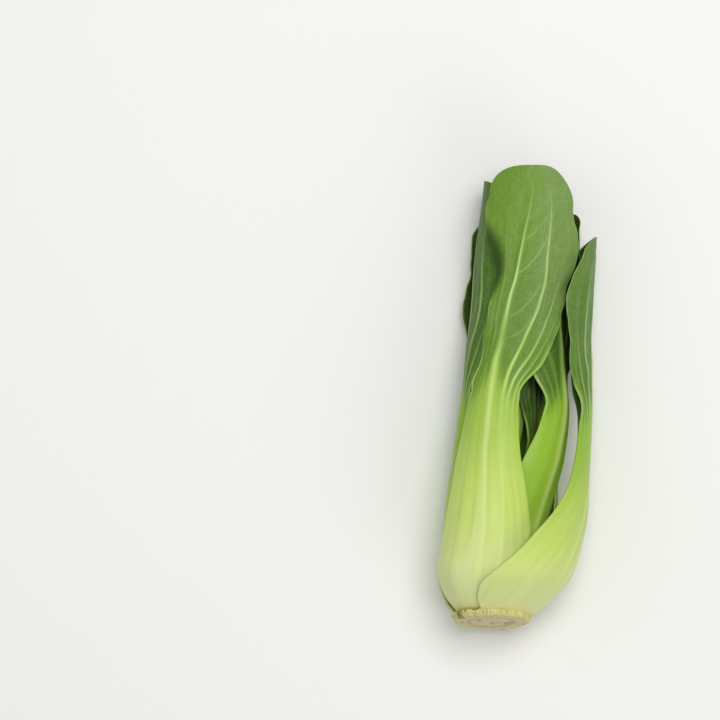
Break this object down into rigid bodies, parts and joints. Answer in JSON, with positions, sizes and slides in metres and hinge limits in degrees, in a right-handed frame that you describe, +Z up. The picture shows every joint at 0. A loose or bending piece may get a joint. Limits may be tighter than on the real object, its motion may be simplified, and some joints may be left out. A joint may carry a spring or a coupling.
{
  "type": "head of bok choy",
  "caption": "Head of bok choy lying on its side: pale thick stalks wrapped round a short cut stem, with dark green veined leaf blades.",
  "frame": {"origin": "middle of the bottom of the head's box, on the surface it lies on", "axes": "+Y from the cut stem towards the leaf tips, +Z up, +X to the right when seen from above with the tips away"},
  "size_m": [0.0652, 0.191, 0.0524],
  "materials": {
    "stalk": "waxy satin, pale green",
    "blade": "soft satin leaf, dark green with paler veins",
    "heart_stalk": "waxy satin, pale yellow-green",
    "heart_blade": "soft satin leaf, light green",
    "stem": "dry cut face, yellow-grey with brown spots"
  },
  "bodies": {
    "root": {"stem": "stem", "leaf_01_stalk": "stalk", "leaf_01_blade": "blade", "leaf_02_stalk": "stalk", "leaf_02_blade": "blade", "leaf_03_stalk": "stalk", "leaf_03_blade": "blade", "leaf_04_stalk": "stalk", "leaf_04_blade": "blade", "leaf_05_stalk": "stalk", "leaf_05_blade": "blade", "leaf_06_stalk": "stalk", "leaf_06_blade": "blade", "leaf_07_stalk": "stalk", "leaf_07_blade": "blade", "leaf_08_stalk": "stalk", "leaf_08_blade": "blade", "leaf_09_stalk": "stalk", "leaf_09_blade": "blade", "leaf_10_stalk": "heart_stalk", "leaf_10_blade": "heart_blade", "leaf_11_stalk": "heart_stalk", "leaf_11_blade": "heart_blade", "leaf_12_stalk": "heart_stalk", "leaf_12_blade": "heart_blade"}
  },
  "joints": []
}
